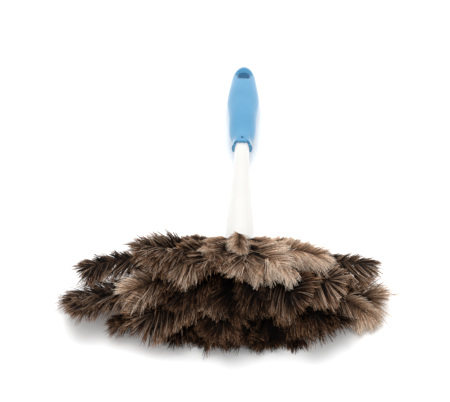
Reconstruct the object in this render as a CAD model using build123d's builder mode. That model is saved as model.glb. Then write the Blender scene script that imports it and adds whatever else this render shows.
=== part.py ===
"""Feather duster lying on a table: a two-shot handle and a wired head of ostrich feathers.

Millimetres, +Z up, the table at z = 0. +Y runs along the handle away from the feathers and +X is to
the right of someone who looks at the feathers first. The origin is under the middle of the duster.
The handle leans down to its grip, so it rests on the lowest tier of feathers and on the grip.
"""
import os
from math import asin, cos, hypot, radians, sin

from build123d import *

# ---------------------------------------------------------------- driving sizes
root_height = 30.0  # handle axis above the table, at the middle of the front binding

shaft_length = 125.0  # the part that shows, from the rear binding to the grip
shaft_end_radius = 11.6
end_bevel_length = 2.0
end_bevel_depth = 1.2
neck_radius = 6.5  # the shaft where it goes into the grip
neck_depth = 8.0  # how far the neck goes in at its full size
neck_shoulder = 1.0
tang_radius = 5.4
tang_point_length = 4.0
tang_point_depth = 3.0

grip_length = 122.0
grip_half_width = 14.4
grip_half_depth = 10.2
grip_profile = (  # share of the grip's length, of its half width and of its half depth
    (0.10, 0.674, 0.902),
    (0.27, 0.875, 0.980),
    (0.50, 1.0, 1.0),
    (0.70, 0.917, 0.902),
    (0.86, 0.757, 0.725),
    (0.945, 0.576, 0.578),
    (0.985, 0.361, 0.412),
    (1.0, 0.153, 0.186),
)
mouth_wall = 2.3
mouth_widening = 0.2  # the mouth is this much wider at each side than it is deep
grip_rest_share = 0.78  # the grip touches the table this far from its mouth to its tip
grip_rest_depth = 0.838 * grip_half_depth  # the profile's half depth there
scallop_radius = 2.9  # cut-outs in the rim of the mouth
scallop_inset = 0.6  # their centres lie this far outside the mouth
scallop_height = 7.0
scallop_cover = 0.9  # middle of a scallop above the neck's surface
dimple_radius = 1.1
dimple_inset = 4.2  # from the mouth
dimple_floor = 0.3  # left between the dimple and the neck
dimple_height = 4.4

hang_hole_radius = 6.25
hang_hole_inset = 16.0  # from the tip of the grip
hang_hole_wall = 6.0  # length of the straight wall, between the two dished rims
rim_width = 2.75
tang_wall = 15.75  # grip left solid between the tang and the hang hole

dowel_radius = 6.5
dowel_depth = 39.5  # how far the dowel goes into the shaft
socket_floor_gap = 1.0
glue_gap = 0.1

quill_radius = 1.1
quill_gap = 0.8  # glue between a quill and the dowel
quill_side_gap = 0.934  # between two quills of a tier that has a binding to itself
quill_lead = 6.0  # a quill runs straight for about this far before it bends
binding_width = 6.4
binding_gap = 0.6  # between two bindings, and between the last one and the shaft
binding_cover = 1.5  # wire outside the quills
wire_turns = 5
wire_groove = 0.4

left_reach = 126.0  # from a quill's root to the tip of its feather
right_reach = 104.0
front_reach = 58.0
rear_reach = 40.0
lower_share = 1.02  # the second tier reaches a little past the first
vane_spacing = 22.5  # degrees between neighbours in one tier
vane_fill = 0.80  # share of that spacing a vane takes up
widest_vane = 40.0
vane_thickness = 3.6

pin_radius = 1.5
pin_inset = 0.8  # the cross pin's ends lie this far under the shaft's surface
pin_clearance = 0.05

# ---------------------------------------------------------------- places that follow from them
quill_circle = dowel_radius + quill_gap + quill_radius  # quills are wound in round the dowel
binding_radius = quill_circle + quill_radius + binding_cover
# degrees round the dowel for each degree of azimuth
quill_turn = (2 * quill_radius + quill_side_gap) / (quill_circle * radians(vane_spacing))
binding_pitch = binding_width + binding_gap
tiers_of_wire = 4
shaft_end = (tiers_of_wire - 1) * binding_pitch + binding_width / 2 + binding_gap
mouth = shaft_end + shaft_length
grip_end = mouth + grip_length
hang_hole_at = grip_end - hang_hole_inset
tang_end = hang_hole_at - hang_hole_radius - tang_wall
dowel_end = shaft_end + dowel_depth
pin_at = shaft_end + dowel_depth / 2
lean = asin((root_height - grip_rest_depth) / (mouth + grip_length * grip_rest_share))

# ---------------------------------------------------------------- the handle's own directions
root = Vector(
    (left_reach - right_reach) / 2,
    -(grip_end * cos(lean) - front_reach * lower_share) / 2,
    root_height,
)  # this puts the origin under the middle of the whole duster
along = Vector(0, cos(lean), -sin(lean))
upright = Vector(0, sin(lean), cos(lean))
across = Vector(1, 0, 0)
profile_plane = Plane(origin=root, x_dir=across, z_dir=upright)  # its y runs along the handle
handle_axis = Axis(root, along)


def on_handle(distance, side=0.0, up=0.0):
    """A point given by its distance along the handle, and from its axis to the side and up."""
    return root + along * distance + across * side + upright * up


def cut_plane(distance):
    """A plane square to the handle."""
    return Plane(origin=on_handle(distance), x_dir=across, z_dir=along)


def shaft_radius(distance):
    """The shaft is slim at the grip and swells in a soft S towards the feathers."""
    swell = (mouth - distance) / (mouth - shaft_end)
    swell = min(max(swell, 0.0), 1.0)
    ease = swell * swell * (3 - 2 * swell)
    return neck_radius + (shaft_end_radius - neck_radius) * ease


# ---------------------------------------------------------------- handle
with BuildPart() as shaft:
    with BuildSketch(profile_plane):
        with BuildLine():
            first = shaft_end + end_bevel_length
            places = [first + (mouth - first) * step / 6 for step in range(7)]
            outer = [(shaft_radius(y), y) for y in places]
            Spline(*outer)
            neck_end = mouth + neck_depth
            socket_radius = dowel_radius + glue_gap
            socket_end = dowel_end + socket_floor_gap
            Polyline(
                outer[-1],
                (neck_radius, neck_end),
                (tang_radius, neck_end + neck_shoulder),
                (tang_radius, tang_end - tang_point_length),
                (tang_radius - tang_point_depth, tang_end),
                (0, tang_end),
                (0, socket_end),
                (socket_radius, socket_end),
                (socket_radius, shaft_end),
                (shaft_end_radius - end_bevel_depth, shaft_end),
                outer[0],
            )
        make_face()
    revolve(axis=handle_axis)
    with Locations(Plane(origin=on_handle(pin_at), x_dir=along, z_dir=across)):
        Cylinder(pin_radius + pin_clearance, 3 * shaft_end_radius, mode=Mode.SUBTRACT)
shaft.part.label = "shaft"

mouth_half_depth = neck_radius + mouth_wall
mouth_half_width = mouth_half_depth + mouth_widening
with BuildPart() as grip:
    with BuildSketch(cut_plane(mouth)):
        Ellipse(mouth_half_width, mouth_half_depth)
    for share, wide, deep in grip_profile:
        with BuildSketch(cut_plane(mouth + grip_length * share)):
            Ellipse(grip_half_width * wide, grip_half_depth * deep)
    loft()
    # hang hole, straight in the middle and dished at both faces
    with BuildSketch(Plane(origin=on_handle(hang_hole_at), x_dir=across, z_dir=along)):
        half_wall = hang_hole_wall / 2
        dish = 3 * rim_width  # the dishes' 45 degree cones go on past the faces
        with BuildLine():
            Polyline(
                (0, -half_wall - dish),
                (hang_hole_radius + dish, -half_wall - dish),
                (hang_hole_radius, -half_wall),
                (hang_hole_radius, half_wall),
                (hang_hole_radius + dish, half_wall + dish),
                (0, half_wall + dish),
                close=True,
            )
        make_face()
    revolve(axis=Axis(on_handle(hang_hole_at), upright), mode=Mode.SUBTRACT)
    # four scallops in the mouth leave a tongue on top, one below and a lobe at each side
    for side in (-1, 1):
        for face in (-1, 1):
            middle = face * (neck_radius + scallop_cover)
            here = on_handle(mouth - scallop_inset, side * (neck_radius - scallop_cover), middle)
            with Locations(Plane(origin=here, x_dir=along, z_dir=upright)):
                Cylinder(scallop_radius, scallop_height, mode=Mode.SUBTRACT)
    # the dimple in the tongue
    middle = neck_radius + dimple_floor + dimple_height / 2
    with Locations(Plane(origin=on_handle(mouth + dimple_inset, 0, middle), x_dir=along, z_dir=upright)):
        Cylinder(dimple_radius, dimple_height, mode=Mode.SUBTRACT)
    add(shaft.part, mode=Mode.SUBTRACT)
grip.part.label = "grip"

with BuildPart() as dowel:
    with Locations(cut_plane((dowel_end - binding_width / 2) / 2)):
        Cylinder(dowel_radius, dowel_end + binding_width / 2)
    with Locations(Plane(origin=on_handle(pin_at), x_dir=along, z_dir=across)):
        Cylinder(pin_radius + pin_clearance, 3 * shaft_end_radius, mode=Mode.SUBTRACT)
dowel.part.label = "core_dowel"

with BuildPart() as cross_pin:
    pin_length = 2 * (shaft_radius(pin_at) - pin_inset)
    with Locations(Plane(origin=on_handle(pin_at), x_dir=along, z_dir=across)):
        Cylinder(pin_radius, pin_length)
cross_pin.part.label = "cross_pin"


# ---------------------------------------------------------------- feathers
def heading(azimuth):
    """Level direction of a feather: 0 is straight ahead of the handle, +90 is to the right."""
    return Vector(sin(radians(azimuth)), -cos(radians(azimuth)), 0)


def reach_of(azimuth, share):
    """The head is far wider than it is deep, so its outline is an oval."""
    side = (right_reach if azimuth > 0 else left_reach) * share
    front = (rear_reach if abs(azimuth) > 90 else front_reach) * share
    turn = radians(azimuth)
    return front * side / hypot(front * sin(turn), side * cos(turn))


class Tier:
    """One row of feathers, wound in together."""

    def __init__(self, name, binding, azimuths, clock, climb, crest, tip, share, bare):
        self.name = name
        self.station = binding * binding_pitch
        self.azimuths = azimuths
        self.clock = clock  # function: azimuth to the quill's place round the handle, 0 is on top
        self.climb = climb  # degrees above level at the quill, ahead and at the side
        self.crest = crest  # height of the vane's middle, ahead and at the side
        self.tip = tip  # height of the tip, ahead and at the side
        self.share = share  # of the full reach
        self.bare = bare  # share of a feather's length that is bare quill

    def quill_root(self, azimuth):
        turn = radians(self.clock(azimuth))
        return on_handle(self.station, quill_circle * sin(turn), quill_circle * cos(turn))

    def blend(self, pair, azimuth):
        sideways = sin(radians(azimuth)) ** 2
        return pair[0] + (pair[1] - pair[0]) * sideways

    def launch(self, azimuth):
        rise = radians(self.blend(self.climb, azimuth))
        return heading(azimuth) * cos(rise) + Vector(0, 0, sin(rise))


spread = [vane_spacing * step for step in range(-4, 5)]  # -90 to 90 degrees
between = [vane_spacing * (step + 0.5) for step in range(-4, 4)]  # halfway, over the gaps
crowning = [-50.0, 0.0, 50.0]
backward = [-100.0, 100.0]
tiers = (
    Tier(
        "floor", 0, spread, clock=lambda a: 180 - 0.85 * a,
        climb=(-8, -4), crest=(9, 10), tip=(2.95, 5.65), share=1.0, bare=0.16,
    ),
    Tier(
        "lower", 0, between, clock=lambda a: 0.95 * a,
        climb=(8, 4), crest=(26, 23), tip=(11, 11), share=lower_share, bare=0.16,
    ),
    Tier(
        "middle", 1, spread, clock=lambda a: quill_turn * a,
        climb=(56, 24), crest=(38, 34), tip=(34, 28), share=0.90, bare=0.20,
    ),
    Tier(
        "upper", 2, between, clock=lambda a: quill_turn * a,
        climb=(72, 46), crest=(50, 44), tip=(50, 42), share=0.66, bare=0.26,
    ),
    Tier(
        "crown", 3, crowning, clock=lambda a: 0.8 * a,
        climb=(80, 69), crest=(58, 41.5), tip=(57, 45), share=0.42, bare=0.30,
    ),
    Tier(
        "rear", 3, backward, clock=lambda a: 0.8 * a,
        climb=(50, 36), crest=(34, 34), tip=(28, 28), share=0.45, bare=0.30,
    ),
)


def make_feather(tier, azimuth):
    start = tier.quill_root(azimuth)
    reach = reach_of(azimuth, tier.share)
    out = heading(azimuth)
    crest = start + out * (reach / 2)
    crest = Vector(crest.X, crest.Y, tier.blend(tier.crest, azimuth))
    end = start + out * reach
    end = Vector(end.X, end.Y, tier.blend(tier.tip, azimuth))
    leave = tier.launch(azimuth)
    flat = Vector(cos(radians(azimuth)), sin(radians(azimuth)), 0)
    sections = ((0.0, 0), (tier.bare / 2, 0), (tier.bare, 0.1), (tier.bare + 0.18, 0.8), (0.62, 1),
                (0.8, 1), (0.93, 0.72), (1.0, 0.2))
    with BuildPart() as solid:
        with BuildLine(mode=Mode.PRIVATE) as spine:
            Spline(start, start + leave * quill_lead, crest, end)
        rachis = spine.line
        for place, fullness in sections:
            here = rachis @ place
            towards = rachis % place
            wide = min(vane_fill * radians(vane_spacing) * (place * reach + quill_circle), widest_vane)
            half_width = max(quill_radius, wide * fullness / 2)
            half_depth = max(quill_radius, vane_thickness / 2 * min(fullness * 1.4, 1))
            level = (flat - towards * flat.dot(towards)).normalized()
            with BuildSketch(Plane(origin=here, x_dir=level, z_dir=towards)):
                Ellipse(half_width, half_depth)
        loft()
    return solid.part


feathers = []
for tier in tiers:
    for count, azimuth in enumerate(tier.azimuths, start=1):
        one = make_feather(tier, azimuth)
        one.label = f"feather_{tier.name}_{count}"
        feathers.append((tier, azimuth, one))


# ---------------------------------------------------------------- bindings
def make_binding(number):
    """Wire wound round the dowel and over the quills of one or two tiers."""
    centre = number * binding_pitch
    half = binding_width / 2
    groove = binding_width / wire_turns
    with BuildPart() as wound:
        with BuildSketch(profile_plane):
            with BuildLine():
                edge = [(dowel_radius, centre - half), (binding_radius - wire_groove, centre - half)]
                for turn in range(wire_turns):
                    middle = centre - half + (turn + 0.5) * groove
                    edge.append((binding_radius, middle))
                    edge.append((binding_radius - wire_groove, middle + groove / 2))
                edge.append((dowel_radius, centre + half))
                Polyline(*edge, close=True)
            make_face()
        revolve(axis=handle_axis)
        for tier, azimuth, one in feathers:
            if tier.station == number * binding_pitch:
                add(one, mode=Mode.SUBTRACT)
    return wound.part


bindings = []
for number, name in enumerate(("front", "second", "third", "rear")):
    band = make_binding(number)
    band.label = f"quill_binding_{name}"
    bindings.append(band)

# ---------------------------------------------------------------- files
os.makedirs("parts", exist_ok=True)
export_step(shaft.part, "parts/shaft.step")
export_step(grip.part, "parts/grip.step")
export_step(dowel.part, "parts/core_dowel.step")
export_step(cross_pin.part, "parts/cross_pin.step")
for band in bindings:
    export_step(band, f"parts/{band.label}.step")
for tier, azimuth, one in feathers:
    export_step(one, f"parts/{one.label}.step")
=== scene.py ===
"""A feather duster lying on a white table, seen over its feathers towards the handle."""

from math import asin, cos, hypot, pi, radians, sin

import bpy
import numpy as np
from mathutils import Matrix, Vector


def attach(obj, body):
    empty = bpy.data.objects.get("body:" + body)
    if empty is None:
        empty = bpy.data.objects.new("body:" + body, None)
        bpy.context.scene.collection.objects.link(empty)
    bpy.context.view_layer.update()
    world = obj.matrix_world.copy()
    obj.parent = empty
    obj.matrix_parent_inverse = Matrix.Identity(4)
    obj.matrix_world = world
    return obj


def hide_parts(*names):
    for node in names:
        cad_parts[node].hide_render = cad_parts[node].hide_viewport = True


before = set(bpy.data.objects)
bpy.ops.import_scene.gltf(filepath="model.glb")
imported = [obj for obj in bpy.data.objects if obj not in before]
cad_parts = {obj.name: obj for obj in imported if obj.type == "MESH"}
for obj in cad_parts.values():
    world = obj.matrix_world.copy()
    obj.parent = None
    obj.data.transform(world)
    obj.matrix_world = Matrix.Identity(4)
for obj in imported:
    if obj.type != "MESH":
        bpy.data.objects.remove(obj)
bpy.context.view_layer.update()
MM = 0.001

# ------------------------------------------------------------ the handle's line, as in the CAD model
LEFT_REACH, RIGHT_REACH, FRONT_REACH, REAR_REACH = 126.0, 104.0, 58.0, 40.0
LOWER_SHARE = 1.02
MOUTH, GRIP_LENGTH = 149.8, 122.0
ROOT_HEIGHT, GRIP_REST_DEPTH, GRIP_REST_SHARE = 30.0, 8.55, 0.78
LEAN = asin((ROOT_HEIGHT - GRIP_REST_DEPTH) / (MOUTH + GRIP_LENGTH * GRIP_REST_SHARE))
ROOT = np.array(
    [
        (LEFT_REACH - RIGHT_REACH) / 2,
        -((MOUTH + GRIP_LENGTH) * cos(LEAN) - FRONT_REACH * LOWER_SHARE) / 2,
        ROOT_HEIGHT,
    ]
)
ALONG = np.array([0.0, cos(LEAN), -sin(LEAN)])
UPRIGHT = np.array([0.0, sin(LEAN), cos(LEAN)])
ACROSS = np.array([1.0, 0.0, 0.0])
UP = np.array([0.0, 0.0, 1.0])


def on_handle(distance, side=0.0, up=0.0):
    """A point in millimetres from the head, along the handle, across it and above its axis."""
    return ROOT + ALONG * distance + ACROSS * side + UPRIGHT * up


# ------------------------------------------------------------ camera
CAMERA_TARGET = Vector((-0.002, -0.024, 0.020))
CAMERA_ELEVATION = radians(46)
CAMERA_AZIMUTH = radians(1.6)
CAMERA_DISTANCE = 0.960
LENS_MM, SENSOR_MM = 92.0, 36.0

camera_data = bpy.data.cameras.new("camera")
camera_data.lens, camera_data.sensor_width = LENS_MM, SENSOR_MM
camera = bpy.data.objects.new("camera", camera_data)
back = Vector(
    (
        sin(CAMERA_AZIMUTH) * cos(CAMERA_ELEVATION),
        -cos(CAMERA_AZIMUTH) * cos(CAMERA_ELEVATION),
        sin(CAMERA_ELEVATION),
    )
)
camera.location = CAMERA_TARGET + back * CAMERA_DISTANCE
camera.rotation_euler = back.to_track_quat("Z", "Y").to_euler()
bpy.context.scene.collection.objects.link(camera)
bpy.context.scene.camera = camera
bpy.context.scene.view_settings.view_transform = "Standard"


# ------------------------------------------------------------ materials
def material(name):
    """A new material, its node tree and its shader."""
    made = bpy.data.materials.new(name)
    made.use_nodes = True
    return made, made.node_tree, made.node_tree.nodes["Principled BSDF"]


def node(tree, kind, **values):
    """A new node, with values for its inputs or its own settings."""
    made = tree.nodes.new(kind)
    for key, value in values.items():
        if key in made.inputs:
            made.inputs[key].default_value = value
        else:
            setattr(made, key, value)
    return made


def ramp(tree, source, stops):
    """Colours by value: stops are (place, colour)."""
    made = tree.nodes.new("ShaderNodeValToRGB")
    made.color_ramp.elements[0].position = stops[0][0]
    made.color_ramp.elements[0].color = (*stops[0][1], 1)
    made.color_ramp.elements[1].position = stops[-1][0]
    made.color_ramp.elements[1].color = (*stops[-1][1], 1)
    for place, colour in stops[1:-1]:
        made.color_ramp.elements.new(place).color = (*colour, 1)
    tree.links.new(source, made.inputs["Fac"])
    return made.outputs["Color"]


def grey(tree, source, low, high):
    """A value from 0 to 1, mapped to low to high."""
    made = tree.nodes.new("ShaderNodeMapRange")
    made.inputs["To Min"].default_value = low
    made.inputs["To Max"].default_value = high
    tree.links.new(source, made.inputs["Value"])
    return made.outputs["Result"]


def noise(tree, scale, detail, stretch=(1, 1, 1)):
    """Soft noise in the object's own space."""
    place = tree.nodes.new("ShaderNodeTexCoord")
    mapping = tree.nodes.new("ShaderNodeMapping")
    mapping.inputs["Scale"].default_value = stretch
    tree.links.new(place.outputs["Object"], mapping.inputs["Vector"])
    made = node(tree, "ShaderNodeTexNoise", Scale=scale, Detail=detail)
    tree.links.new(mapping.outputs["Vector"], made.inputs["Vector"])
    return made.outputs["Fac"]


def bump(tree, shader, source, strength, distance):
    made = node(tree, "ShaderNodeBump", Strength=strength, Distance=distance)
    tree.links.new(source, made.inputs["Height"])
    tree.links.new(made.outputs["Normal"], shader.inputs["Normal"])


def soft_grip():
    """Soft satin plastic with a fine grain."""
    made, tree, shader = material("soft_blue_grip")
    patches = noise(tree, 35, 3)
    colour = ramp(tree, patches, [(0.3, (0.056, 0.250, 0.435)), (0.7, (0.078, 0.288, 0.490))])
    tree.links.new(colour, shader.inputs["Base Color"])
    fine = noise(tree, 2600, 2)
    tree.links.new(grey(tree, patches, 0.42, 0.56), shader.inputs["Roughness"])
    shader.inputs["Specular IOR Level"].default_value = 0.3
    shader.inputs["Sheen Weight"].default_value = 0.8
    shader.inputs["Sheen Roughness"].default_value = 0.4
    shader.inputs["Coat Weight"].default_value = 0.06
    shader.inputs["Coat Roughness"].default_value = 0.3
    bump(tree, shader, fine, 0.25, 0.00008)
    return made


def shaft_plastic():
    """Glossy ivory plastic."""
    made, tree, shader = material("ivory_shaft")
    cloud = noise(tree, 18, 3)
    colour = ramp(tree, cloud, [(0.3, (0.63, 0.625, 0.605)), (0.7, (0.675, 0.67, 0.65))])
    tree.links.new(colour, shader.inputs["Base Color"])
    tree.links.new(grey(tree, noise(tree, 160, 3), 0.16, 0.28), shader.inputs["Roughness"])
    shader.inputs["Coat Weight"].default_value = 0.3
    bump(tree, shader, noise(tree, 60, 2), 0.1, 0.0002)
    return made


def wire():
    """Wire with a brown coat."""
    made, tree, shader = material("brown_coated_wire")
    patches = noise(tree, 400, 3)
    colour = ramp(tree, patches, [(0.3, (0.045, 0.028, 0.018)), (0.7, (0.085, 0.055, 0.036))])
    tree.links.new(colour, shader.inputs["Base Color"])
    tree.links.new(grey(tree, noise(tree, 900, 2), 0.45, 0.65), shader.inputs["Roughness"])
    bump(tree, shader, noise(tree, 1200, 2), 0.3, 0.0001)
    return made


def dowel_wood():
    """Plain beech, its grain along the dowel."""
    made, tree, shader = material("dowel_beech")
    grain = noise(tree, 220, 5, (1, 0.06, 1))
    colour = ramp(tree, grain, [(0.3, (0.30, 0.17, 0.08)), (0.7, (0.52, 0.34, 0.19))])
    tree.links.new(colour, shader.inputs["Base Color"])
    tree.links.new(grey(tree, grain, 0.55, 0.75), shader.inputs["Roughness"])
    bump(tree, shader, grain, 0.3, 0.0002)
    return made


def blend(tree, kind, low, high, factor=1.0):
    """Mixes or multiplies two colours."""
    made = node(tree, "ShaderNodeMix", data_type="RGBA", blend_type=kind)
    colour_a, colour_b = [socket for socket in made.inputs if socket.type == "RGBA"]
    tree.links.new(low, colour_a)
    tree.links.new(high, colour_b)
    if isinstance(factor, float):
        made.inputs[0].default_value = factor
    else:
        tree.links.new(factor, made.inputs[0])
    return [socket for socket in made.outputs if socket.type == "RGBA"][0]


def feather_material():
    """Near-black at each barb's root, which is painted shade for the hollows between plumes, then chestnut,
    then tan or cream at its tip, partly the barbs' own colour and partly painted light for backlit tips.

    The attribute "along" runs from a barb's root to its tip. "tone" is 0 for a plain barb, up to 1 for
    a pale one and down to -1 for a dark one. A high tone on a whole plume is partly painted light on the
    head's lit top and back; a low tone on a whole plume is painted shade in its hollows and low at its
    front.
    """
    made, tree, shader = material("ostrich_barbs")
    along = node(tree, "ShaderNodeAttribute", attribute_name="along").outputs["Fac"]
    tone = node(tree, "ShaderNodeAttribute", attribute_name="tone").outputs["Fac"]
    # painted shade: near-black up to 0.55 along each barb, for the hollows between plumes; the light tip is
    # partly painted glow of backlit barbs
    plain = ramp(
        tree,
        along,
        [
            (0.0, (0.005, 0.0022, 0.0012)),
            (0.55, (0.0125, 0.0047, 0.0021)),
            (0.83, (0.112, 0.042, 0.0175)),
            (1.0, (0.54, 0.280, 0.145)),
        ],
    )
    # partly the barbs' own cream and partly painted light, for light passing through the barbs on the head's
    # lit top and back
    pale = ramp(
        tree,
        along,
        [
            (0.0, (0.055, 0.028, 0.017)),
            (0.34, (0.38, 0.216, 0.130)),
            (0.68, (0.81, 0.56, 0.395)),
            (1.0, (1.0, 0.87, 0.74)),
        ],
    )
    # painted shade: a tone below 0 darkens the colour, to 0.05 of it at -1; on single barbs it is their own
    # random darker tone
    dark_tone_and_painted_shade = node(tree, "ShaderNodeMapRange", **{"From Min": -1.0, "From Max": 0.0, "To Min": 0.05})
    tree.links.new(tone, dark_tone_and_painted_shade.inputs["Value"])
    streak = ramp(tree, noise(tree, 900, 3), [(0.3, (0.66, 0.66, 0.66)), (0.7, (1.3, 1.27, 1.22))])
    colour = blend(tree, "MIX", plain, pale, tone)
    colour = blend(tree, "MULTIPLY", colour, streak)
    colour = blend(tree, "MULTIPLY", colour, dark_tone_and_painted_shade.outputs["Result"])
    tree.links.new(colour, shader.inputs["Base Color"])
    tree.links.new(grey(tree, noise(tree, 1500, 2), 0.50, 0.72), shader.inputs["Roughness"])
    shader.inputs["Specular IOR Level"].default_value = 0.12
    bump(tree, shader, noise(tree, 3500, 2), 0.4, 0.0002)
    return made


feather_look = feather_material()


# ------------------------------------------------------------ lines and strands
BETWEEN_POINTS = 24  # samples of a smooth line from one of its points to the next
SIDES = 3  # of each strand
UV_NAME = "OFBake"  # the map of the strands: an automatic unwrap of thousands of them is slow
COLUMNS_PER_ROW = 2.0  # each strand has a cell of the map
STRIP_FILL = 0.9  # share of its cell that a strand's sides fill
END_SPECK_AT, END_SPECK = 0.88, (0.2, 0.02)  # place and size of a strand's end faces in its cell


def smooth_line(points, count):
    """An even, smooth line through a few points (centripetal Catmull-Rom)."""
    pts = np.vstack([2 * points[0] - points[1], points, 2 * points[-1] - points[-2]])
    gaps = np.sqrt(np.linalg.norm(np.diff(pts, axis=0), axis=1))
    knots = np.concatenate([[0], np.cumsum(gaps)])
    pieces = []
    for i in range(1, len(pts) - 2):
        t = np.linspace(knots[i], knots[i + 1], BETWEEN_POINTS, endpoint=False)[:, None]
        p0, p1, p2, p3 = pts[i - 1 : i + 3]
        t0, t1, t2, t3 = knots[i - 1 : i + 3]
        a1 = (t1 - t) / (t1 - t0) * p0 + (t - t0) / (t1 - t0) * p1
        a2 = (t2 - t) / (t2 - t1) * p1 + (t - t1) / (t2 - t1) * p2
        a3 = (t3 - t) / (t3 - t2) * p2 + (t - t2) / (t3 - t2) * p3
        b1 = (t2 - t) / (t2 - t0) * a1 + (t - t0) / (t2 - t0) * a2
        b2 = (t3 - t) / (t3 - t1) * a2 + (t - t1) / (t3 - t1) * a3
        pieces.append((t2 - t) / (t2 - t1) * b1 + (t - t1) / (t2 - t1) * b2)
    line = np.vstack(pieces + [points[-1:]])
    walked = np.concatenate([[0], np.cumsum(np.linalg.norm(np.diff(line, axis=0), axis=1))])
    even = np.linspace(0, walked[-1], count)
    return np.stack([np.interp(even, walked, line[:, k]) for k in range(3)], 1)


def unit(vectors):
    return vectors / np.maximum(np.linalg.norm(vectors, axis=-1, keepdims=True), 1e-9)


def tubes(paths, radii, roll, flat):
    """Closed three-sided strands: paths (n, k, 3) and radii (n, k) in millimetres."""
    count, rings, _ = paths.shape
    heading = unit(np.gradient(paths, axis=1))
    wide = unit(np.cross(heading, roll[:, None, :]))
    deep = np.cross(heading, wide)
    turns = np.arange(SIDES) * 2 * pi / SIDES
    ring = (
        wide[:, :, None, :] * np.cos(turns)[None, None, :, None]
        + deep[:, :, None, :] * (np.sin(turns) * flat)[None, None, :, None]
    )
    corners = paths[:, :, None, :] + ring * radii[:, :, None, None]
    strand = np.arange(count)[:, None, None] * rings * SIDES
    here = strand + np.arange(rings - 1)[None, :, None] * SIDES
    there = here + SIDES
    side = np.arange(SIDES)[None, None, :]
    following = (side + 1) % SIDES
    quads = np.stack([here + side, here + following, there + following, there + side], -1)
    first = strand[:, 0] + np.array([[2, 1, 0]])
    last = strand[:, 0] + (rings - 1) * SIDES + np.array([[0, 1, 2]])
    return corners.reshape(-1, 3), quads.reshape(-1, 4), np.vstack([first, last])


def strip_map(cell, share, columns, rows):
    """Each strand's place on the map: a strip for its sides and a speck for each end."""
    u, v = (cell % columns) / columns, (cell // columns) / rows
    low = v[:, None, None] + share[:-1][None, :, None] / rows * STRIP_FILL
    high = v[:, None, None] + share[1:][None, :, None] / rows * STRIP_FILL
    left = u[:, None, None] + (np.arange(SIDES) / SIDES * STRIP_FILL)[None, None, :] / columns
    right = left + STRIP_FILL / SIDES / columns
    low, high, left, right = np.broadcast_arrays(low, high, left, right)
    sides = np.stack([left, low, right, low, right, high, left, high], -1).reshape(-1, 2)
    speck = np.array([[0, 0], [END_SPECK[0] / columns, 0], [0, END_SPECK[1] / rows]])
    ends = [np.stack([u, v + up / rows], 1)[:, None, :] + speck[None] for up in (0, END_SPECK_AT)]
    return sides, np.vstack(ends).reshape(-1, 2)


def strand_mesh(name, groups):
    """One mesh from groups of strands: (paths, radii, roll, flat, tone)."""
    verts, quads, ends, along, tones, quad_map, end_map = [], [], [], [], [], [], []
    total = sum(len(group[0]) for group in groups)
    columns = int(np.ceil(np.sqrt(total * COLUMNS_PER_ROW)))
    rows = int(np.ceil(total / columns))
    corners_before = strands_before = 0
    for paths, radii, roll, flat, tone in groups:
        count, rings, _ = paths.shape
        share = np.linspace(0, 1, rings)
        corners, side_faces, end_faces = tubes(paths, radii, roll, flat)
        side_uvs, end_uvs = strip_map(strands_before + np.arange(count), share, columns, rows)
        verts.append(corners)
        quads.append(side_faces + corners_before)
        ends.append(end_faces + corners_before)
        along.append(np.tile(np.repeat(share, SIDES), count))
        tones.append(np.repeat(tone, rings * SIDES))
        quad_map.append(side_uvs)
        end_map.append(end_uvs)
        corners_before += len(corners)
        strands_before += count
    verts, quads, ends = np.vstack(verts) * MM, np.vstack(quads), np.vstack(ends)
    mesh = bpy.data.meshes.new(name)
    mesh.vertices.add(len(verts))
    mesh.vertices.foreach_set("co", verts.ravel())
    loops = np.concatenate([quads.ravel(), ends.ravel()])
    mesh.loops.add(len(loops))
    mesh.loops.foreach_set("vertex_index", loops.astype(np.int32))
    sizes = np.concatenate([np.full(len(quads), 4), np.full(len(ends), 3)])
    starts = np.concatenate([[0], np.cumsum(sizes)[:-1]])
    mesh.polygons.add(len(sizes))
    mesh.polygons.foreach_set("loop_start", starts.astype(np.int32))
    mesh.polygons.foreach_set("use_smooth", np.ones(len(sizes), bool))
    for label, values in (("along", along), ("tone", tones)):
        layer = mesh.attributes.new(label, "FLOAT", "POINT")
        layer.data.foreach_set("value", np.concatenate(values).astype(np.float32))
    uv = mesh.uv_layers.new(name=UV_NAME)
    uv.data.foreach_set("uv", np.vstack(quad_map + end_map).ravel().astype(np.float32))
    mesh.update(calc_edges=True)
    mesh.validate()
    return mesh


# ------------------------------------------------------------ feathers
SPINE_POINTS = 60
CURL_FROM, CURL_GROWTH, TWIST_GROWTH = 0.45, 1.4, 1.5  # how bends build up towards a plume's tip
BARBS, BARB_RINGS = 1260, 6
LOCK = 6  # barbs that lie together
LOCK_PULL = 0.22  # how far a lock's barbs draw together at their tips
ALONG_RACHIS = 0.72  # share of the locks that stand along the rachis; the others crowd its last stretch
LAST_STRETCH = 0.92  # where the last stretch begins, as a share of the vane
ROOT_SCATTER = 0.010
SIDE_ANGLE, LAST_ANGLE = 62, 76  # degrees from the rachis: along it, and the widest at its end
ANGLE_SCATTER, LIFT_SCATTER = (4, 3), (5, 4)  # degrees: from lock to lock, and within a lock
LOCK_LIFTS = (-14.0, 0.0, 0.0, 12.0)  # degrees out of the vane, one of these for each lock
FIRST_LENGTH, FULL_LENGTH_AT = 0.45, 0.30  # barbs start short and are full by this share of the vane
LAST_LENGTHS = (0.62, 0.30)  # at the end: the middle barbs, and how much the outer ones add
LENGTH_SCATTER = 0.08
BACK_WEAR = 0.60  # barbs that point towards the handle are this much shorter
INWARD = 0.35  # how far barbs bend towards the plume's tip
INWARD_SCATTER, CURVE_SCATTER, SWAY = 0.12, 0.20, 0.12
TABLE_GAP = (0.35, 0.5)  # millimetres above the table, and how much that varies
CEILING, CEILING_ROOM = 58.0, 12.0  # barbs give way above this height, by no more than the room
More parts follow.
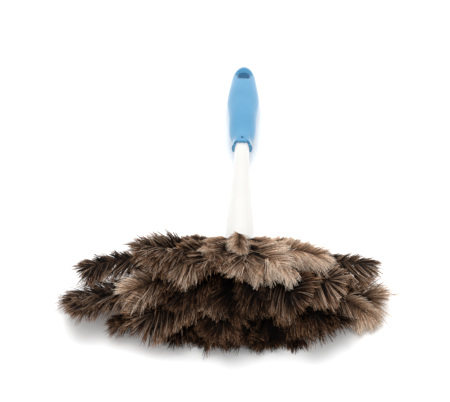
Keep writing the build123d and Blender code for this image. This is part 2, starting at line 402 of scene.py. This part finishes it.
BARB_RADIUS = (0.34, 0.20)  # the finest, and how much the coarsest adds
BARB_TAPER, BARB_FLATNESS, ROLL_SCATTER = 0.72, 0.45, 0.35
QUILL_RADIUS, QUILL_TAPER = 0.25, 0.95  # at the tip, and what the root adds
QUILL_FLATNESS, QUILL_TONE = 0.9, -0.5
TONE_STEPS, TONE_ODDS = (-0.50, -0.10, 0.40), (0.38, 0.34, 0.28)  # how single barbs differ
MOTTLE = (0.14, 0.08)  # tone from lock to lock, and within a lock
PALE_CALM = 0.6  # pale plumes differ less from barb to barb
RIPE_FROM, RIPE_OVER = 0.62, 0.30  # where frost sets in along the rachis


def curled(spine, curl, twist, bow):
    """Bends the outer part of a line up by curl and to the left by bow, in degrees, and gives its frames."""
    share = np.linspace(0, 1, len(spine))
    step = np.linalg.norm(np.diff(spine, axis=0), axis=1).mean()
    heading = unit(np.gradient(spine, axis=0))
    side = unit(np.cross(heading, UP))
    face = np.cross(side, heading)
    outer = np.clip((share - CURL_FROM) / (1 - CURL_FROM), 0, 1) ** CURL_GROWTH
    bend, swing = radians(curl) * outer, radians(bow) * outer
    swung = heading * np.cos(swing)[:, None] - side * np.sin(swing)[:, None]
    side = side * np.cos(swing)[:, None] + heading * np.sin(swing)[:, None]
    heading = swung
    turned = heading * np.cos(bend)[:, None] + face * np.sin(bend)[:, None]
    face = face * np.cos(bend)[:, None] - heading * np.sin(bend)[:, None]
    steps = (turned[1:] + turned[:-1]) / 2 * step
    bent = spine[0] + np.concatenate([[np.zeros(3)], np.cumsum(steps, axis=0)])
    roll = radians(twist) * share**TWIST_GROWTH
    rolled = side * np.cos(roll)[:, None] + face * np.sin(roll)[:, None]
    return bent, turned, rolled, np.cross(rolled, turned)


def settle(values, start, room):
    """Lets values grow freely up to start, and then slower and slower, to no more than start + room."""
    over = np.maximum(values - start, 0)
    return np.minimum(values, start) + room * np.tanh(over / room)


def feather(
    name, spine_points, seed, bare, barb, curl, twist, cup, hang, pale, frost=0.0, bow=0.0, loose=1.0
):
    """A plume: a tapering rachis and two vanes of close barbs that fan out round its tip.

    bare is the share of the rachis without barbs, and barb is the barbs' length in millimetres. In
    degrees, curl bends the outer part up, bow bends it to the left, twist rolls it and cup lifts the
    vanes' edges. hang is how far the barbs give way to their weight, and loose is how untidy they are.
    pale sets their tone from -1 to 1: low values are painted shade on plumes in the head's hollows or low at
    its front, and high ones are partly painted light on its lit top and back. frost adds to it towards the
    plume's tip.
    """
    rand = np.random.default_rng(seed)
    spine = smooth_line(np.array(spine_points), SPINE_POINTS)
    spine, heading, side, face = curled(spine, curl, twist, bow)
    share = np.linspace(0, 1, len(spine))

    # where the barbs stand: locks go left and right in turn
    locks = BARBS // LOCK
    count = locks * LOCK
    lock = np.arange(count) // LOCK
    flip = np.where(np.arange(locks) % 2 == 0, 1.0, -1.0)
    place = np.clip((np.arange(locks) + rand.random(locks)) / locks / ALONG_RACHIS, 0, 1)
    tip = place >= 1
    at_end = LAST_STRETCH + (1 - LAST_STRETCH) * rand.random(locks)
    place = bare + (1 - bare) * np.where(tip, at_end, place * LAST_STRETCH)
    start = np.clip(place[lock] + rand.normal(0, ROOT_SCATTER, count), bare, 1.0)

    def at(values):
        return np.stack([np.interp(start, share, values[:, k]) for k in range(3)], 1)

    base, t, s, f = at(spine), unit(at(heading)), unit(at(side)), unit(at(face))

    # which way they leave the rachis, and how long they are
    fan = rand.random(locks)
    angle = np.where(tip, LAST_ANGLE * fan, SIDE_ANGLE) + loose * rand.normal(0, ANGLE_SCATTER[0], locks)
    angle = np.radians(angle[lock] + loose * rand.normal(0, ANGLE_SCATTER[1], count))
    lift = cup + loose * (rand.choice(LOCK_LIFTS, locks) + rand.normal(0, LIFT_SCATTER[0], locks))
    lift = np.radians(lift[lock] + loose * rand.normal(0, LIFT_SCATTER[1], count))
    away = s * (flip[lock] * np.cos(lift))[:, None] + f * np.sin(lift)[:, None]
    first = unit(t * np.cos(angle)[:, None] + away * np.sin(angle)[:, None])
    grow = np.clip((start - bare) / (1 - bare) / FULL_LENGTH_AT, 0, 1)
    size = np.where(tip, LAST_LENGTHS[0] + LAST_LENGTHS[1] * fan, 1)
    size = size * np.exp(loose * rand.normal(0, LENGTH_SCATTER, locks))
    reach = barb * (FIRST_LENGTH + (1 - FIRST_LENGTH) * grow) * size[lock]
    reach = reach * np.exp(rand.normal(0, LENGTH_SCATTER, count))
    reach *= 1 - BACK_WEAR * np.clip(first[:, 1], 0, 1)

    # each barb bends towards the plume's tip, curves, sways and hangs
    inward = rand.normal(INWARD, INWARD_SCATTER * loose, locks)[lock]
    curve = rand.normal(0.0, CURVE_SCATTER * loose, locks)[lock]
    sway = rand.normal(0, SWAY * loose, (count, 3))
    steps = np.linspace(0, 1, BARB_RINGS)
    paths = np.zeros((count, BARB_RINGS, 3))
    paths[:, 0] = here = base
    for k, u in enumerate(steps[1:], start=1):
        way = first + t * (inward * u)[:, None] + f * (curve * u * u)[:, None]
        way = way + sway * u - UP * (hang * u * u)
        here = here + unit(way) * (reach / (BARB_RINGS - 1))[:, None]
        paths[:, k] = here
    lead = lock * LOCK + LOCK // 2
    paths += (paths[lead] - paths) * (LOCK_PULL * steps[None, :, None] ** 2)
    lowest = TABLE_GAP[0] + TABLE_GAP[1] * rand.random(count)[:, None]
    paths[:, :, 2] = settle(np.maximum(paths[:, :, 2], lowest), CEILING, CEILING_ROOM)

    radii = (BARB_RADIUS[0] + BARB_RADIUS[1] * rand.random(count))[:, None]
    radii = radii * (1 - BARB_TAPER * steps[None, :] ** 2)
    roll = unit(f + rand.normal(0, ROLL_SCATTER, (count, 3)))
    contrast = rand.choice(TONE_STEPS, count, p=TONE_ODDS) * (1 - PALE_CALM * max(pale, 0))
    ripe = np.clip((start - RIPE_FROM) / RIPE_OVER, 0, 1)
    mottle = rand.normal(0, MOTTLE[0], locks)[lock] + rand.normal(0, MOTTLE[1], count)
    tone = np.clip(pale + frost * ripe + contrast + mottle, -1, 1)
    vanes = (paths, radii, roll, BARB_FLATNESS, tone)

    quill_radii = (QUILL_TAPER * (1 - share) + QUILL_RADIUS)[None, :]
    quill = (spine[None], quill_radii, UP[None] + 0.01, QUILL_FLATNESS, np.array([QUILL_TONE]))
    mesh = strand_mesh(name, [vanes, quill])
    mesh.materials.append(feather_look)
    plume = bpy.data.objects.new(name, mesh)
    bpy.context.scene.collection.objects.link(plume)
    return plume


def heading_of(azimuth):
    """The level direction of an azimuth: 0 is straight at the viewer and 90 is to the right."""
    return np.array([sin(radians(azimuth)), -cos(radians(azimuth)), 0.0])


def reach_of(azimuth, share):
    """How far the head goes that way: its outline is four quarter ellipses."""
    side = (RIGHT_REACH if azimuth > 0 else LEFT_REACH) * share
    front = (REAR_REACH if abs(azimuth) > 90 else FRONT_REACH) * share
    turn = radians(azimuth)
    return front * side / hypot(front * sin(turn), side * cos(turn))


BINDING_PITCH, QUILL_CIRCLE, SPACING = 7.0, 8.4, 22.5
SPREAD = [SPACING * step for step in range(-4, 5)]
BETWEEN = [SPACING * (step + 0.5) for step in range(-4, 4)]
CROWNING = [-50.0, 0.0, 50.0]
BACKWARD = [-100.0, 100.0]
# name, binding, azimuths, place round the dowel, climb, crest, tip, share of the head's reach, bare share.
# climb in degrees, and crest and tip as heights in millimetres, are each (straight ahead, to the sides).
TIERS = (
    ("floor", 0, SPREAD, lambda a: 180 - 0.85 * a, (-8, -4), (9, 10), (2.95, 5.65), 1.0, 0.16),
    ("lower", 0, BETWEEN, lambda a: 0.95 * a, (8, 4), (26, 23), (11, 11), LOWER_SHARE, 0.16),
    ("middle", 1, SPREAD, lambda a: 0.95 * a, (56, 24), (38, 34), (34, 28), 0.90, 0.20),
    ("upper", 2, BETWEEN, lambda a: 0.95 * a, (72, 46), (50, 44), (50, 42), 0.66, 0.26),
    ("crown", 3, CROWNING, lambda a: 0.8 * a, (80, 69), (58, 41.5), (57, 45), 0.42, 0.30),
    ("rear", 3, BACKWARD, lambda a: 0.8 * a, (50, 36), (34, 34), (28, 28), 0.45, 0.30),
)
# the usual form of a tier's plumes, as feather() takes it. The low pale of the floor and lower tiers is
# painted shade low at the head's front; the high pale of the upper, crown and rear tiers is partly
# painted light on its lit top and back.
HABIT = {
    "floor": dict(barb=26, curl=4, cup=8, hang=0.30, pale=-0.55),
    "lower": dict(barb=28, curl=-12, cup=-8, hang=0.5, pale=-0.60),
    "middle": dict(barb=27, curl=18, cup=8, hang=0.3, pale=-0.05),
    "upper": dict(barb=22, curl=-4, cup=2, hang=0.35, pale=0.55),
    "crown": dict(barb=13, curl=-6, cup=-18, hang=0.5, pale=0.95),
    "rear": dict(barb=13, curl=-4, cup=2, hang=0.4, pale=0.6, loose=1.5),
}
# and the plumes that stand out from their tier. The darkest, such as lower_5, lower_6, middle_5 and
# middle_6, are painted shade in the hollows between arching plumes.
SPECIAL = {
    "floor_1": dict(barb=27, curl=6, bow=38, cup=14, pale=-0.15, stop=0.30),
    "floor_2": dict(barb=23, pale=-0.25),
    "floor_3": dict(barb=22, pale=-0.8),
    "floor_4": dict(barb=23, pale=-0.7),
    "floor_5": dict(pale=-0.9, barb=20),
    "floor_6": dict(pale=-0.9, barb=20),
    "floor_7": dict(pale=-0.5, barb=22),
    "floor_9": dict(pale=-0.1, frost=0.9, loose=1.3, bow=-26, stop=0.32),
    "lower_1": dict(barb=26, curl=9, bow=14, cup=12, pale=-0.1, stop=0.30),
    "lower_2": dict(barb=28, curl=12, twist=35, cup=14, hang=0.2, pale=-0.1, loose=0.7),
    "lower_3": dict(pale=-0.75, barb=26),
    "lower_4": dict(barb=24, curl=10, cup=20, pale=-0.5),
    "lower_5": dict(pale=-0.95, barb=24, twist=30),
    "lower_6": dict(pale=-0.9, barb=24, twist=-20),
    "lower_7": dict(pale=-0.5, curl=10, twist=25),
    "lower_8": dict(pale=-0.2, frost=1.3, barb=22, bow=-20, stop=0.30),
    "middle_1": dict(barb=19, curl=4, twist=10, cup=-6, bow=22, pale=-0.1, stop=0.25),
    "middle_2": dict(barb=22, curl=-10, cup=10, pale=-0.3, frost=1.2, loose=1.3),
    "middle_3": dict(curl=-6, twist=-35, pale=-0.75),
    "middle_4": dict(curl=-10, cup=-10, barb=28, twist=15, pale=-0.1, loose=0.6),
    "middle_5": dict(curl=-10, pale=-0.95),
    "middle_6": dict(curl=-16, pale=-0.95, twist=30),
    "middle_7": dict(pale=-0.25, twist=-30),
    "middle_8": dict(barb=26, curl=30, twist=-20, pale=0.1, loose=0.4),
    "middle_9": dict(barb=26, curl=14, twist=10, bow=-8, pale=0.0, loose=0.6, stop=0.3),
    "upper_1": dict(barb=27, bare=0.48, curl=27, twist=-8, cup=15, bow=12, pale=0.0, loose=1.3),
    "upper_2": dict(barb=23, curl=4, twist=18, pale=-0.1, frost=0.4),
    "upper_3": dict(pale=0.0, twist=-40, curl=20),
    "upper_4": dict(pale=0.0, twist=30),
    "upper_5": dict(curl=-10, cup=4, barb=25, pale=0.0, frost=0.5, loose=0.6),
    "upper_6": dict(pale=0.65, twist=-25, frost=0.3),
    "upper_7": dict(pale=0.95, twist=25),
    "upper_8": dict(pale=0.9, curl=0),
    "crown_2": dict(barb=10, bare=0.60, curl=-12, cup=-16, hang=0.9, pale=0.8, loose=1.8, stop=0.15),
    "rear_1": dict(barb=9, curl=-20, pale=0.3, stop=1.0),
    "rear_2": dict(barb=10, pale=0.9),
}
LEAD = 6.0  # the quills' straight start
# the rachis ends before the CAD blade does: by this many barb lengths, but at most this share of the
# stretch from crest to tip
USUAL_STOP, MOST_STOP = 0.60, 0.75
CURL_SPREAD, TWIST_SPREAD, CUP_SPREAD = 9, 24, 6  # degrees by which plumes of one tier differ
FORM_SEED, PLUME_SEED = 700, 100

number = 0
for tier, binding, azimuths, clock, climb, crest, tip, share, bare in TIERS:
    for order, azimuth in enumerate(azimuths, start=1):
        number += 1
        turn = radians(clock(azimuth))
        start = on_handle(binding * BINDING_PITCH, QUILL_CIRCLE * sin(turn), QUILL_CIRCLE * cos(turn))
        sideways = sin(radians(azimuth)) ** 2
        rise = radians(climb[0] + (climb[1] - climb[0]) * sideways)
        leave = heading_of(azimuth) * cos(rise) + UP * sin(rise)
        reach = reach_of(azimuth, share)
        middle = start + heading_of(azimuth) * reach / 2
        middle[2] = crest[0] + (crest[1] - crest[0]) * sideways
        end = start + heading_of(azimuth) * reach
        end[2] = tip[0] + (tip[1] - tip[0]) * sideways
        rand = np.random.default_rng(FORM_SEED + number)
        form = dict(HABIT[tier], bare=bare, twist=0, stop=USUAL_STOP)
        form["curl"] += rand.normal(0, CURL_SPREAD)
        form["twist"] += rand.normal(0, TWIST_SPREAD)
        form["cup"] += rand.normal(0, CUP_SPREAD)
        form.update(SPECIAL.get(f"{tier}_{order}", {}))
        stop = form.pop("stop") * form["barb"] / max(np.linalg.norm(end - middle), 1)
        inset = end + (middle - end) * min(stop, MOST_STOP)
        spine = [start, start + leave * LEAD, middle, inset]
        plume = feather(f"plume_{tier}_{order}", spine, PLUME_SEED + number, **form)
        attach(plume, "root")
        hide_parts(f"feather_{tier}_{order}")

# ------------------------------------------------------------ handle and bindings keep their CAD shapes
looks = {"grip": soft_grip(), "shaft": shaft_plastic(), "core_dowel": dowel_wood(), "cross_pin": wire()}
for name in ("front", "second", "third", "rear"):
    looks[f"quill_binding_{name}"] = looks["cross_pin"]
for name, look in looks.items():
    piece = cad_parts[name]
    for slot in piece.material_slots:
        slot.material = look

# ------------------------------------------------------------ table and light
TABLE = 4.0  # half its side, in metres
floor_mesh = bpy.data.meshes.new("table")
corners = [(-TABLE, -TABLE, 0), (TABLE, -TABLE, 0), (TABLE, TABLE, 0), (-TABLE, TABLE, 0)]
floor_mesh.from_pydata(corners, [], [(0, 1, 2, 3)])
floor = bpy.data.objects.new("table", floor_mesh)
floor_look, floor_tree, floor_shader = material("white_table")
floor_shader.inputs["Base Color"].default_value = (0.95, 0.95, 0.95, 1)
floor_shader.inputs["Roughness"].default_value = 0.7
floor_mesh.materials.append(floor_look)
bpy.context.scene.collection.objects.link(floor)

world = bpy.data.worlds.new("studio")
world.use_nodes = True
world.node_tree.nodes["Background"].inputs["Color"].default_value = (1, 1, 1, 1)
world.node_tree.nodes["Background"].inputs["Strength"].default_value = 1.0
bpy.context.scene.world = world


def area_light(name, location, target, size, power):
    """A round soft light, in metres and watts."""
    data = bpy.data.lights.new(name, "AREA")
    data.shape, data.size, data.energy = "DISK", size, power
    lamp = bpy.data.objects.new(name, data)
    lamp.location = location
    lamp.rotation_euler = (Vector(location) - Vector(target)).to_track_quat("Z", "Y").to_euler()
    bpy.context.scene.collection.objects.link(lamp)


area_light("key", location=(-0.05, 0.45, 1.4), target=(0, 0, 0), size=1.3, power=12)
